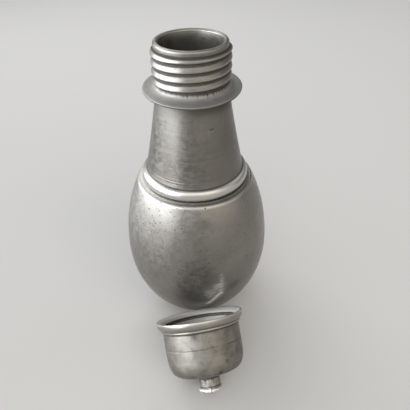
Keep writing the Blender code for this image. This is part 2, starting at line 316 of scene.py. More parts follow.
def makeScratches():
    e = scratchEffect
    group, given, made = newGroup("hairScratches", ("Scale",), ("Mask",))
    lines = []
    for turn in e["turns"]:
        place = addNode(group, "ShaderNodeMapping", {
            "Vector": given["Vector"], "Rotation": turn, "Scale": e["stretch"]})
        grain = noiseNode(group, place.outputs[0], given["Scale"], detail=2.0)
        ridge = maths(group, "ABSOLUTE", maths(group, "SUBTRACT", grain["Fac"], 0.5))
        lines.append(spread(group, ridge, e["width"], 0.0))
    found = maths(group, "MAXIMUM", *lines)
    patch = noiseNode(group, given["Vector"], e["patchScale"], detail=1.0)
    patch = spread(group, patch["Fac"], e["patchLow"], e["patchHigh"])
    group.links.new(maths(group, "MULTIPLY", found, patch), made["Mask"])
    return group


pitGroup, ringGroup, cloudGroup = makePits(), makeRings(), makeClouds()
grimeGroup, scratchGroup = makeGrime(), makeScratches()
print("node groups ready")

# One pewter for every piece: each finish has its own tone, gloss, rings, pits and dirt. Depths are in millimetres
plainPewter = dict(
    light=(0.30, 0.284, 0.259), dark=(0.21, 0.197, 0.178), worn=(0.60, 0.58, 0.545),
    inside=(0.085, 0.078, 0.066), insideCover=0.9, insideMetal=1.0, insideRough=0.2,
    dirt=(0.035, 0.028, 0.022), dirtCover=0.92, dirtMetal=0.2, dirtRough=0.3,
    dirtScale=900.0, dirtDepth=0.05,
    metal=1.0, gloss=0.27, dull=0.40, mattRough=0.2,
    cloudScale=38.0, mottle=0.35, dentDepth=0.012,
    ringFineness=1500.0, ringRadial=-0.6, ringDepth=0.02, ringTone=0.5, ringGloss=0.3,
    pitScale=1150.0, pitShare=0.12, pitReach=0.24, pitDepth=0.10, pitCover=0.88,
    largePitScale=600.0, largePitShare=0.85, largePitReach=0.72,
    scratchScale=420.0, scratchDepth=0.004,
)


def pewterFinish(name, changes, frameOf=None):
    look = dict(plainPewter, **changes)
    material = bpy.data.materials.new(name)
    material.use_nodes = True
    tree = material.node_tree
    shader = tree.nodes["Principled BSDF"]
    place = addNode(tree, "ShaderNodeTexCoord").outputs["Object"]
    if frameOf:  # the loose cap's own upright frame
        place = addNode(tree, "ShaderNodeMapping", {
            "Vector": place, "Location": frameOf.to_translation(), "Rotation": frameOf.to_euler()},
            vector_type="TEXTURE").outputs[0]
    painted = {key: addNode(tree, "ShaderNodeAttribute", attribute_name=key).outputs["Fac"]
               for key in ("dirt", "inside", "worn", "pitted", "matt")}
    clouds = placeGroup(tree, cloudGroup, {"Vector": place, "Scale": look["cloudScale"]})
    rings = placeGroup(tree, ringGroup, {
        "Vector": place, "Fineness": look["ringFineness"], "Radial": look["ringRadial"]})["Height"]
    dirt = placeGroup(tree, grimeGroup, {
        "Vector": place, "Mask": painted["dirt"], "Scale": look["dirtScale"]})["Mask"]
    scratches = placeGroup(tree, scratchGroup, {"Vector": place, "Scale": look["scratchScale"]})["Mask"]
    share = maths(tree, "MULTIPLY", painted["pitted"], look["pitShare"])
    small = placeGroup(tree, pitGroup, {
        "Vector": place, "Scale": look["pitScale"], "Share": share, "Reach": look["pitReach"]})["Mask"]
    large = placeGroup(tree, pitGroup, {
        "Vector": place, "Scale": look["largePitScale"],
        "Share": maths(tree, "MULTIPLY", share, look["largePitShare"]),
        "Reach": look["largePitReach"] * look["pitReach"]})["Mask"]
    pits = maths(tree, "MAXIMUM", small, large)

    # colour: cloudy grey, streaked by the rings, worn bright and lit by painted highlights, dark inside and under
    # painted shade, dirty in pits and grooves
    tone = maths(tree, "MULTIPLY", clouds["Tone"], 1 - look["mottle"])
    tone = maths(tree, "MULTIPLY_ADD", clouds["Mottle"], look["mottle"], tone)
    streaks = maths(tree, "MULTIPLY", maths(tree, "SUBTRACT", rings, 0.5), look["ringTone"])
    tone = maths(tree, "ADD", tone, streaks, clamp=True)
    colour = blendColour(tree, tone, (*look["dark"], 1), (*look["light"], 1))
    colour = blendColour(tree, painted["worn"], colour, (*look["worn"], 1))
    covers = ((painted["inside"], "inside", "inside"), (pits, "dirt", "pit"), (dirt, "dirt", "dirt"))
    for mask, key, cover in covers:
        mask = maths(tree, "MULTIPLY", mask, look[cover + "Cover"])
        colour = blendColour(tree, mask, colour, (*look[key], 1))
    tree.links.new(colour, shader.inputs["Base Color"])

    # gloss: the cloudy patches, dirt and pits are duller
    rough = maths(tree, "MULTIPLY", clouds["Mottle"], 1 - look["ringGloss"])
    rough = maths(tree, "MULTIPLY_ADD", rings, look["ringGloss"], rough)
    rough = spread(tree, rough, 0.15, 0.85, look["gloss"], look["dull"])
    rough = maths(tree, "MULTIPLY_ADD", maths(tree, "MAXIMUM", dirt, pits), look["dirtRough"], rough)
    rough = maths(tree, "MULTIPLY_ADD", painted["matt"], look["mattRough"], rough)
    rough = maths(tree, "MULTIPLY_ADD", painted["inside"], look["insideRough"], rough, clamp=True)
    tree.links.new(rough, shader.inputs["Roughness"])
    metal = maths(tree, "MULTIPLY_ADD", painted["inside"], look["insideMetal"] - look["metal"], look["metal"])
    metal = maths(tree, "MULTIPLY", metal, maths(tree, "MULTIPLY_ADD", dirt, look["dirtMetal"] - 1, 1.0))
    tree.links.new(metal, shader.inputs["Metallic"])

    # relief in millimetres
    relief = maths(tree, "MULTIPLY", rings, look["ringDepth"])
    depths = ((clouds["Mottle"], look["dentDepth"]), (pits, -look["pitDepth"]),
              (scratches, -look["scratchDepth"]), (dirt, look["dirtDepth"]))
    for height, depth in depths:
        relief = maths(tree, "MULTIPLY_ADD", height, depth, relief)
    bump = addNode(tree, "ShaderNodeBump", {"Strength": 1.0, "Distance": mm, "Height": relief})
    tree.links.new(bump.outputs[0], shader.inputs["Normal"])
    return material


# Heights and radii of the upright bottle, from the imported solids
lowerLow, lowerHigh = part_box("lower_bowl")
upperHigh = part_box("upper_bowl")[1]
ringLow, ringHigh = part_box("shoulder_ring")
neckLow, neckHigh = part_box("neck")
flangeLow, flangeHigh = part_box("flange")
mouthLow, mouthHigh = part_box("threaded_mouth")

# Body: one dented shell from the base to the ledge under the ring
bodyShell = dict(
    lengths(
        rowGap=0.62, insideGap=2.6, wall=1.9, floor=2.5, seam=46.5, baseRadius=16.5, baseRound=1.1,
        shoulderRadius=30.0, shoulderRound=1.3, holeRadius=24.3, coveFrom=27.3, coveTo=29.5, coveDip=0.55,
        coveDrop=0.3, heldFoot=(0.5, 6), heldTop=(1.3, 7), unevenness=0.07, unevenSize=13, slackness=0.16,
        slackSize=34, ringDirtEdge=(28.3, 27.2), pitSpread=32, dullSpread=28),
    steps=320, outsideRows=60, insideRows=40, ringDirt=0.9, baseDirt=0.55, ledgeTarnish=0.25, ledgeWear=0.4,
    shoulderWear=0.25, pitMiddle=(-27, -24, 72), dullness=0.75, fewPits=0.17, manyPits=0.55,
    hollowReach=1.1,
    look=dict(
        # the worn colour here also paints the highlights on the crease and the light on the ledge
        light=(0.27, 0.256, 0.235), dark=(0.205, 0.193, 0.176), worn=(0.85, 0.83, 0.785),
        gloss=0.28, dull=0.40, pitShare=0.46, pitReach=0.27),
)

# Dents: turn and height of the middle, half width, half height and depth in millimetres, lean,
# then the side with the steep wall, how far the deepest point lies towards it, and how crisp the edge is
dentKeys = ("turn", "height", "wide", "tall", "depth", "lean", "steepSide", "skew", "crisp")
bodyDents = [dict(zip(dentKeys, values)) for values in (
    (-89.0, 43.0, 16.0, 18.0, 0.2, 0, 0, 0.2, 2.6),
    (-76.5, 37.5, 6.8, 11.0, 1.0, 18, -40, 0.5, 1.4),
    (-82.8, 79.0, 6.4, 5.4, 0.3, 0, 0, 0.0, 2.0),
    (-141.0, 35.0, 8.0, 5.0, 0.6, -12, 95, 0.5, 1.4),
    (-50.0, 62.0, 15.0, 17.0, 0.5, 15, 180, 0.2, 2.0),
    (25.0, 52.0, 7.0, 9.0, 0.7, 30, 60, 0.4, 1.5),
    (98.0, 66.0, 12.0, 9.0, 0.6, -20, 0, 0.0, 2.0),
    (140.0, 34.0, 5.0, 6.0, 0.6, 0, -60, 0.4, 1.4),
    (178.0, 60.0, 9.0, 12.0, 0.4, 10, 0, 0.0, 2.0),
)]

# Crease: a low ridge along the edge of the main dent, along points of (turn, height), with a painted highlight on
# it and on the patches inside its bend
bodyCrease = dict(
    edge=((-69.6, 33.6), (-80.8, 25.6)), strip=((-70.6, 49.0), (-69.6, 33.6)), width=1.2, rise=0.12,
    edgeShine=1.3, stripShine=0.5, patches=((-73.5, 39.5, 3.6), (-78.5, 35.5, 4.2)), patchShine=0.8,
    reach=30,
)

# Painted shade: soft dark patches at (turn, height) for the shade and dark reflections in the hollows, with half
# width, half height and strength
bodyStains = [(-91.0, 43.0, 13.0, 15.0, 0.08), (-59.0, 38.0, 4.2, 3.4, 0.6), (-82.8, 79.0, 3.6, 3.2, 0.4)]


# Millimetres across and along the rolled-out body, from a point at (turn, height)
def unrolled(co, turn, height):
    girth = lowerHigh.x / mm
    across = (turnOf(co) - math.radians(turn) + math.pi) % fullTurn - math.pi
    return across * girth, co.z / mm - height


def lineReach(co, start, end):
    here = Vector(unrolled(co, *start))
    run = here - Vector(unrolled(co, *end))
    share = min(1.0, max(0.0, here.dot(run) / run.dot(run)))
    return (here - run * share).length


# Painted highlight, hatched by noise, on the crease's edge and strip and on the patches inside its bend
def creaseShine(co):
    c = bodyCrease
    across, along = unrolled(co, *c["edge"][0])
    if max(abs(across), abs(along)) > c["reach"]:
        return 0.0
    hatch = 0.7 + 0.9 * noise.noise(Vector((across / 5.0 + along / 9.0, along / 1.3 - across / 4.0, 3.0)))
    patch = max(near(0, reach, math.hypot(*unrolled(co, turn, height))) for turn, height, reach in c["patches"])
    strip = c["stripShine"] * near(0, c["width"], lineReach(co, *c["strip"]))
    edge = c["edgeShine"] * near(0, c["width"], lineReach(co, *c["edge"]))
    return max(edge * (0.8 + 0.4 * wobble(co, 2.2 * mm)), (strip + c["patchShine"] * patch) * hatch)


def stainDepth(co):
    total = 0.0
    for turn, height, wide, tall, strength in bodyStains:
        across, along = unrolled(co, turn, height)
        total += strength * near(0, 1, math.hypot(across / wide, along / tall))
    return total


# Two half egg shapes that meet at the widest line
def bodyRadius(height, shift=0.0):
    radius, seam = lowerHigh.x, bodyShell["seam"]
    if height < seam:
        edge, drop = bodyShell["baseRadius"], seam - lowerLow.z
    else:
        edge, drop = bodyShell["shoulderRadius"], upperHigh.z - seam
    reach = drop / math.sqrt(1 - (edge / radius) ** 2) - shift
    return (radius - shift) * math.sqrt(max(0.0, 1 - ((height - seam) / reach) ** 2))


def dentDepth(co):
    total = 0.0
    for dent in bodyDents:
        across, along = unrolled(co, dent["turn"], dent["height"])
        if max(abs(across), abs(along)) > 1.1 * max(dent["wide"], dent["tall"]):
            continue
        lean = math.radians(dent["lean"])
        x = (across * math.cos(lean) + along * math.sin(lean)) / dent["wide"]
        y = (along * math.cos(lean) - across * math.sin(lean)) / dent["tall"]
        side, skew = math.radians(dent["steepSide"]), dent["skew"]
        ahead = x * math.cos(side) + y * math.sin(side) - skew
        beside = y * math.cos(side) - x * math.sin(side)
        ahead /= 1 - skew if ahead > 0 else 1 + skew
        reach = ahead * ahead + beside * beside
        if reach < 1:
            total += dent["depth"] * (1 - reach) ** dent["crisp"]
    ridge = max(near(0, bodyCrease["width"], lineReach(co, *bodyCrease[key])) for key in ("edge", "strip"))
    return (total - bodyCrease["rise"] * ridge) * mm


def bodyLine():
    s = bodyShell
    base, top, wall = lowerLow.z, upperHigh.z, s["wall"]
    heights = evenly(s["baseRound"], top - s["shoulderRound"], s["outsideRows"])
    outside = [(bodyRadius(z), z) for z in reversed(heights)]
    edge = (s["coveTo"], top - s["coveDrop"])
    dip = ((s["coveFrom"] + s["coveTo"]) / 2, top - s["coveDip"])
    cove = bentLine((s["coveFrom"], top), dip, edge, 6)
    cove += bentLine(edge, (s["shoulderRadius"] + 0.1 * mm, edge[1]), outside[0], 6)[1:]
    foot = bentLine(outside[-1], (s["baseRadius"], base + 0.1 * mm), (s["baseRadius"] - s["baseRound"], base), 6)
    outer = closeRows([(s["holeRadius"], top)] + cove[:-1] + outside + foot[1:], s["rowGap"])
    outer += closeRows([foot[-1], (0, base)], s["insideGap"])[1:]
    heights = evenly(s["floor"], top - wall, s["insideRows"])
    inner = [(0, s["floor"])] + [(bodyRadius(z, wall), z) for z in heights] + [(s["holeRadius"], top - wall)]
    return closeRows(inner, s["insideGap"]) + outer


def makeBody():
    s = bodyShell
    base, top = lowerLow.z, upperHigh.z
    work = turnOnLathe(bodyLine(), s["steps"], closed=False)
    middle = Vector((0, 0, s["seam"]))
    outward = lambda v: v.normal.dot((v.co - middle).normalized())
    moves = {}
    for vert in work.verts:
        co, facing = vert.co, outward(vert)
        held = ease(*s["heldFoot"], co.z - base) * ease(*s["heldTop"], top - co.z)  # no dents near the ends
        depth = dentDepth(co)
        if facing > 0.2:
            depth += s["unevenness"] * wobble(co, s["unevenSize"])
            depth += s["slackness"] * wobble(co, s["slackSize"], 3.0)
        moves[vert] = (vert.normal if facing > 0 else -vert.normal) * -depth * held
    for vert, move in moves.items():
        vert.co += move
    pitMiddle = Vector(s["pitMiddle"]) * mm  # most of the pits are on the upper left, and it is duller there
    hollow = bodyDents[0]  # the wide hollow in front is duller too

    def masks(v):
        z, right, fromPits = v.co.z, rightSide(v.co), (v.co - pitMiddle).length
        inside = outward(v) < 0
        across, along = unrolled(v.co, hollow["turn"], hollow["height"])
        inHollow = near(0, s["hollowReach"], math.hypot(across / hollow["wide"], along / hollow["tall"]))
        # painted shade in the corner under the ring, darker on the side away from the key light
        underRing = near(top, 0.4 * mm, z) * ease(*s["ringDirtEdge"], outOf(v.co)) * right
        # painted shade on the ledge, darker on the side away from the key light
        ledge = s["ledgeTarnish"] * near(top - 0.2 * mm, 0.4 * mm, z) * right
        # painted light: the ledge is lighter on the side the key light comes from
        wear = s["ledgeWear"] * near(top - 0.3 * mm, 0.4 * mm, z) * (1.2 - right)
        # real wear on the shoulder's edge, plus the painted highlight of the crease
        wear += s["shoulderWear"] * near(top - 1.1 * mm, 0.5 * mm, z) + creaseShine(v.co)
        patchy = s["manyPits"] + 0.7 * wobble(v.co, 14 * mm)
        return {
            "dirt": s["ringDirt"] * underRing + s["baseDirt"] * near(base, 0.5 * mm, z),
            "inside": max(inside, stainDepth(v.co), ledge),
            "matt": max(inHollow, s["dullness"] * near(0, s["dullSpread"], fromPits)),
            "worn": (1 - inside) * wear,
            "pitted": s["fewPits"] + near(0, s["pitSpread"], fromPits) * patchy,
        }

    placePiece(
        work, masks, s["look"], "bodyPewter", "bodyShell", "bottle", "body_pewter", "lower_bowl", "upper_bowl")


makeBody()

# Ring: a polished half-round moulding soldered round the foot of the neck
shoulderRing = dict(
    lengths(
        rowGap=1.0, bore=24.3, foot=25.0, drop=0.27, unevenness=0.03, unevenSize=8, dirtEdge=(0.45, 0.1),
        wearEdge=(0.4, 1.0)),
    steps=224, fullness=2.2, widestShare=0.36, dirt=1.1, wear=0.8, pits=0.06,
    look=dict(
        worn=(0.60, 0.582, 0.552), gloss=0.30, dull=0.34,
        ringDepth=0.002, ringFineness=1900.0, dentDepth=0.0),
)


def makeRing():
    s = shoulderRing
    low, foot = ringLow.z - s["drop"], s["foot"]  # the moulding sits down on the ledge
    widest = low + (ringHigh.z - low) * s["widestShare"]
    reach = ringHigh.x - foot
    bulge = arcLine((foot, widest), (reach, ringHigh.z - widest), 90, 0, 26, s["fullness"])
    bulge += arcLine((foot, widest), (reach, widest - low), 0, -90, 16, s["fullness"])[1:]
    line = closeRows([(s["bore"], ringHigh.z)] + bulge + [(s["bore"], low)], s["rowGap"])
    work = turnOnLathe(line, s["steps"])
    wearDown(work, foot, s)

    def masks(v):
        out = outOf(v.co) - foot
        dirt, wear = s["dirt"] * ease(*s["dirtEdge"], out), s["wear"] * ease(*s["wearEdge"], out)
        return {"dirt": dirt, "worn": wear, "pitted": s["pits"]}

    placePiece(work, masks, s["look"], "ringPewter", "shoulderRing", "bottle", "polished_pewter", "shoulder_ring")


makeRing()

# Neck: a tapered tube with a slight waist, turned lines, fine grooves near its foot and one deep pit
neckTube = dict(
    lengths(
        rowGap=0.6, grooveGap=0.14, insideGap=2.0, topRadius=17.5, footRadius=25.2, waist=0.35, wall=1.6,
        spigot=24.0, socket=15.9, socketDepth=4.0, grooveDepth=0.05, unevenness=0.10, unevenSize=16,
        tarnishDrop=3, tarnishWidth=4),
    steps=200, rows=40, grooveRows=4, grooves=(1.3, 2.1, 3.4), grooveWidth=0.16,
    pit=dict(turn=-63.0, height=124.3, wide=0.6, stretch=1.8, depth=0.3, dirt=0.8, dirtWide=0.7),
    topDirt=0.9, tarnish=1.1,
    look=dict(
        light=(0.212, 0.2, 0.182), dark=(0.158, 0.148, 0.133), gloss=0.30, dull=0.44,
        ringTone=1.1, ringDepth=0.035, ringFineness=1250.0, ringRadial=-0.4),
)


def makeNeck():
    s, pit = neckTube, neckTube["pit"]
    foot, top = ringHigh.z + seat, neckHigh.z
    outside = []
    for i in range(s["rows"] + 1):
        share = 1 - i / s["rows"]
        radius = s["topRadius"] + (s["footRadius"] - s["topRadius"]) * share
        radius -= 4 * s["waist"] * share * (1 - share)
        outside.append((radius, foot + (top - foot) * (1 - share)))
    fine = s["grooveRows"]
    rows = closeRows(outside[:fine + 1], s["grooveGap"]) + closeRows(outside[fine:], s["rowGap"])[1:]
    inner = s["spigot"] - s["wall"]
    inside = [(s["socket"], top), (s["socket"], top - s["socketDepth"]), (inner, foot), (inner, neckLow.z)]
    line = [(s["spigot"], neckLow.z), (s["spigot"], foot)] + rows + closeRows(inside, s["insideGap"])
    work = turnOnLathe(line, s["steps"])

    def fromPit(co):
        across = (turnOf(co) - math.radians(pit["turn"])) * outOf(co) / mm / pit["stretch"]
        return math.hypot(across, co.z / mm - pit["height"])

    for vert in work.verts:
        co = vert.co
        if vert.normal.dot(sideways(co)) > 0 and foot + 0.2 * mm < co.z < top - 0.1 * mm:
            lift = (co.z - foot) / mm
            depth = s["unevenness"] * lowSpots(co, s["unevenSize"]) * ease(0, 5, lift)
            depth += sum(s["grooveDepth"] * near(groove, s["grooveWidth"], lift) for groove in s["grooves"])
            depth += pit["depth"] * mm * near(0, pit["wide"], fromPit(co))
            vert.co -= vert.normal * depth

    def masks(v):
        z, inside = v.co.z, v.normal.dot(sideways(v.co)) < 0
        dirt = s["topDirt"] * near(top, 1.2 * mm, z) + near(foot, 0.3 * mm, z)
        dirt += pit["dirt"] * near(0, pit["dirtWide"], fromPit(v.co))
        # painted shadow under the flange, darker on the side away from the key light
        underFlange = near(top - s["tarnishDrop"], s["tarnishWidth"], z)
        return {
            "dirt": (1 - inside) * dirt, "inside": max(inside, s["tarnish"] * underFlange * rightSide(v.co)),
            "pitted": 0.10 + 0.15 * max(0.0, wobble(v.co, 12 * mm)),
        }

    placePiece(work, masks, s["look"], "neckPewter", "neckTube", "bottle", "body_pewter", "neck")


makeNeck()

# Flange: a thin dull disc under the thread, not quite flat any more, with a fillet of solder round the thread
flangeDisc = dict(
    lengths(
        rowGap=0.6, bore=15.8, edgeRound=0.5, filletFrom=17.43, filletTo=20.8, filletRise=2.1,
        filletPull=0.5, bend=0.18, bendFrom=17.7, frontDrop=1.25, backLift=0.7, nick=0.10, nickSize=3,
        nickDepth=1.2, dirtEdge=(17.9, 17.45), streakEdge=(19.8, 17.6), edgeTarnish=(-1.5, -0.5)),
    steps=224, dirt=0.5, streaks=30.0, pits=0.2,
    look=dict(
        # the inside colour here only paints the shade under the disc's edge
        light=(0.287, 0.278, 0.262), dark=(0.243, 0.234, 0.22), inside=(0.10, 0.095, 0.085),
        metal=0.75, gloss=0.50, dull=0.60, ringRadial=1.0, ringDepth=0.012, dentDepth=0.015),
)


def makeFlange():
    s = flangeDisc
    low, high, radius = flangeLow.z, flangeHigh.z, flangeHigh.x
    edge = arcLine((radius - s["edgeRound"], (low + high) / 2), (s["edgeRound"], (high - low) / 2), 90, -90, 10)
    start = s["filletFrom"]
    fillet = bentLine((start, high + s["filletRise"]), (start + s["filletPull"], high), (s["filletTo"], high), 8)
    line = [(s["bore"], high), (start, high)] + fillet + edge + [(s["bore"], low)]
    work = turnOnLathe(closeRows(line, s["rowGap"]), s["steps"])
    for vert in work.verts:
        turn, out = turnOf(vert.co), outOf(vert.co)
        wave = 0.5 * math.sin(turn + 2.2) + 0.3 * math.sin(3 * turn + 0.4) + 0.35 * wobble(vert.co, 9 * mm)
        share = max(0.0, (out - s["bendFrom"]) / (radius - s["bendFrom"]))
        front = -math.sin(turn)
        vert.co.z -= share * front * (s["frontDrop"] if front > 0 else s["backLift"]) * abs(front) ** 0.3
        vert.co.z += s["bend"] * share * wave
        nick = s["nick"] * max(0.0, wobble(vert.co, s["nickSize"], 1.5))
        nick *= ease(radius - s["nickDepth"], radius, out)
        vert.co.x -= nick * math.cos(turn)
        vert.co.y -= nick * math.sin(turn)

    def masks(v):
        out, frontRight = outOf(v.co), 0.55 + 0.45 * math.cos(turnOf(v.co) + 1.1)
        grain = noise.noise(sideways(v.co).normalized() * s["streaks"] + Vector((4, 4, 0)))
        streak = frontRight * max(0.0, grain) * ease(*s["streakEdge"], out)
        onTop = ease(high - 1.7 * mm, high - 1.5 * mm, v.co.z)  # also where it is bent down
        # painted shade on the downward-facing outer edge of the disc
        underEdge = ease(0.8, 0.1, v.normal.z) * ease(*s["edgeTarnish"], out - radius)
        dirt = (s["dirt"] * ease(*s["dirtEdge"], out) + streak) * onTop
        return {"dirt": dirt, "inside": underEdge, "pitted": s["pits"]}

    placePiece(work, masks, s["look"], "flangePewter", "flangeDisc", "bottle", "dull_pewter", "flange")


makeFlange()

# Mouth: a lip and a coarse right-hand thread with steep undersides and long upper flanks
threadedMouth = dict(
    lengths(
        rowGap=0.17, insideGap=1.2, bore=14.4, root=17.4, crest=18.65, spigot=15.6, lipRadius=17.15,
        lipBore=14.75, lipHeight=2.5, lipFlare=0.55, lipGroove=16.9, throat=(4.5, 2.5), pitch=4.15,
        frontCrest=155.55, fadeTop=(157.3, 156.5), fadeFoot=(141.0, 142.3), wear=0.08, footDirt=0.8),
    steps=220, lipFullness=2.1, underShare=0.26, flankPower=1.7, rootDirt=(0.7, 0.22), crestShine=0.75,
    lipShine=0.5, pits=0.35,
    look=dict(
        light=(0.25, 0.235, 0.214), dark=(0.168, 0.157, 0.14), worn=(0.345, 0.329, 0.302),
        inside=(0.115, 0.112, 0.097), gloss=0.34, dull=0.48, ringDepth=0.015, dirtScale=700.0),
)


# How high the thread stands at a point, from 0 in the root to 1 on the crest
def threadRise(co):
    s = threadedMouth
    crestZero = s["frontCrest"] + s["pitch"] / 4
    u = ((co.z - crestZero) / s["pitch"] - turnOf(co) / fullTurn + s["underShare"]) % 1.0
    if u < s["underShare"]:
        rise = ease(0, s["underShare"], u)
    else:
        rise = 1 - ((u - s["underShare"]) / (1 - s["underShare"])) ** s["flankPower"]
    return rise * ease(*s["fadeTop"], co.z) * ease(*s["fadeFoot"], co.z)


def mouthLine():
    s = threadedMouth
    foot, top = flangeHigh.z + seat, mouthHigh.z
    lipHalf = (s["lipRadius"] - s["lipBore"]) / 2
    lipFoot, flare, groove = top - s["lipHeight"], s["lipFlare"], s["lipGroove"]
    lip = arcLine((s["lipBore"] + lipHalf, top - lipHalf), (lipHalf, lipHalf), 180, 0, 20, s["lipFullness"])
    under = bentLine((s["lipRadius"], lipFoot + 0.4 * mm), (s["lipRadius"], lipFoot), (groove, lipFoot), 6)
    under += bentLine((groove, lipFoot - 0.15 * mm), (groove, lipFoot - flare), (s["root"], lipFoot - flare), 5)
    start, pull = s["throat"]
    throat = bentLine((s["bore"], top - start), (s["bore"], top - pull), lip[0], 8)
    outside = closeRows(lip + under + [(s["root"], foot)], s["rowGap"])
    inside = [(s["spigot"], foot), (s["spigot"], mouthLow.z), (s["bore"], mouthLow.z)] + throat
    return outside + closeRows(inside, s["insideGap"])[:-1]


def makeMouth():
    s = threadedMouth
    foot, top = flangeHigh.z + seat, mouthHigh.z
    work = turnOnLathe(mouthLine(), s["steps"])
    rises = {}
    for vert in work.verts:
        if outOf(vert.co) > s["lipGroove"] - 0.1 * mm and vert.co.z > foot + 0.05 * mm:
            rises[vert] = threadRise(vert.co)
    for vert, rise in rises.items():
        worn = s["wear"] * lowSpots(vert.co, 4 * mm) + 0.5 * s["wear"] * max(0, wobble(vert.co, 1.6 * mm, 4.0))
        grown = (s["crest"] - s["root"]) * rise - worn * rise
        vert.co += sideways(vert.co).normalized() * grown

    def masks(v):
        below = lambda start, end: ease(top - start * mm, top - end * mm, v.co.z)
        inward = ease(0.5, -0.5, v.normal.dot(sideways(v.co).normalized()))
        isThread, rise = (1 - inward) * below(2.2, 2.8), threadRise(v.co)
        return {
            "dirt": isThread * (ease(*s["rootDirt"], rise) + near(foot, s["footDirt"], v.co.z)),
            # painted shade: the inner wall darkens in two steps deeper down the mouth
            "inside": 0.5 * inward * (below(0.6, 2.2) + below(3.8, 5.4)),
            "worn": s["crestShine"] * isThread * ease(0.75, 1.0, rise) + s["lipShine"] * below(1.6, 0.3),
            "pitted": s["pits"],
        }

    placePiece(
        work, masks, s["look"], "threadPewter", "threadedMouth", "bottle", "thread_pewter", "threaded_mouth")


makeMouth()


# The loose cap's upright frame: its axis runs from the nipple's tip through the middle of the rim
def capFrame():
    points = {name: [v.co.copy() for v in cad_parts[name].data.vertices]
              for name in ("nipple", "cap_rim", "cap_cup")}
    centre = {name: sum(found, Vector()) / len(found) for name, found in points.items()}
    axis = (centre["cap_rim"] - centre["nipple"]).normalized()
    tip = min(p.dot(axis) for p in points["nipple"])
    origin = centre["nipple"] + axis * (tip - centre["nipple"].dot(axis))
    down = (Vector((0, 0, -1)) - axis * -axis.z).normalized()
    turn = Matrix((down.cross(axis), down, axis)).transposed().to_4x4()
    reach, top, foot = {}, {}, {}
    for name, found in points.items():
        lifts = [(p - origin).dot(axis) for p in found]
        reach[name] = max((p - origin - axis * lift).length for p, lift in zip(found, lifts))
        top[name], foot[name] = max(lifts), min(lifts)
    return Matrix.Translation(origin) @ turn, reach, top, foot


capPlace, capReach, capTop, capFoot = capFrame()
print("cap frame found, rim radius", round(capReach["cap_rim"] / mm, 2), "mm")

# Cup: straight at the mouth, drawn in to a rounded crown, with a fine line round its middle and a thread inside
capCup = dict(
    lengths(
        rowGap=0.4, wall=1.2, crown=1.4, hole=3.9, crownRadius=14.4, cornerDepth=13.0, line=13.7,
        lineDepth=0.10, lineWidth=0.22, lineDirt=0.28, ridgePitch=4.15, ridgeStart=22.45, ridgeHeight=0.9,
        ridgeWidth=0.75, unevenness=0.10, unevenSize=9, rootReach=(8.6, 6.2)),
    steps=200, cornerFullness=2.7, ridgeTurns=2.25, ridgeFade=1.3, rootDirt=1.2, edgeDirt=0.8,
    insideTone=0.75,
    look=dict(
        light=(0.275, 0.259, 0.231), dark=(0.15, 0.14, 0.122), gloss=0.45, dull=0.60,
        inside=(0.60, 0.585, 0.545), insideMetal=0.35, cloudScale=180.0, pitShare=0.34,
        ringDepth=0.03, ringFineness=1100.0, ringTone=0.8, ringRadial=-0.5),
)

# Stains on the cup: (x, y, height above the crown, reach) in millimetres of the cap's own frame, then strength
cupStains = [
    (3.6, -17.4, 1.7, 1.9, 0.8), (1.2, -17.6, 1.7, 1.4, 0.6), (-6.2, -19.1, 20.9, 2.6, 0.48),
    (7.6, -18.3, 6.8, 1.3, 0.6), (-5.2, -19.3, 8.2, 2.2, 0.35), (14.0, 12.0, 12.0, 3.0, 0.4),
    (-12.0, 15.0, 8.0, 2.6, 0.35),
]


def innerRidge(co):
    s = capCup
    best, sweep = 0.0, s["ridgeTurns"] * fullTurn
    for k in range(math.ceil(s["ridgeTurns"])):
        turn = turnOf(co) % fullTurn + fullTurn * k
        if turn <= sweep:
            share = min(1.0, turn / s["ridgeFade"], (sweep - turn) / s["ridgeFade"])
            height = s["ridgeStart"] + s["ridgePitch"] * turn / fullTurn
            best = max(best, share * near(height, s["ridgeWidth"], co.z))
    return best


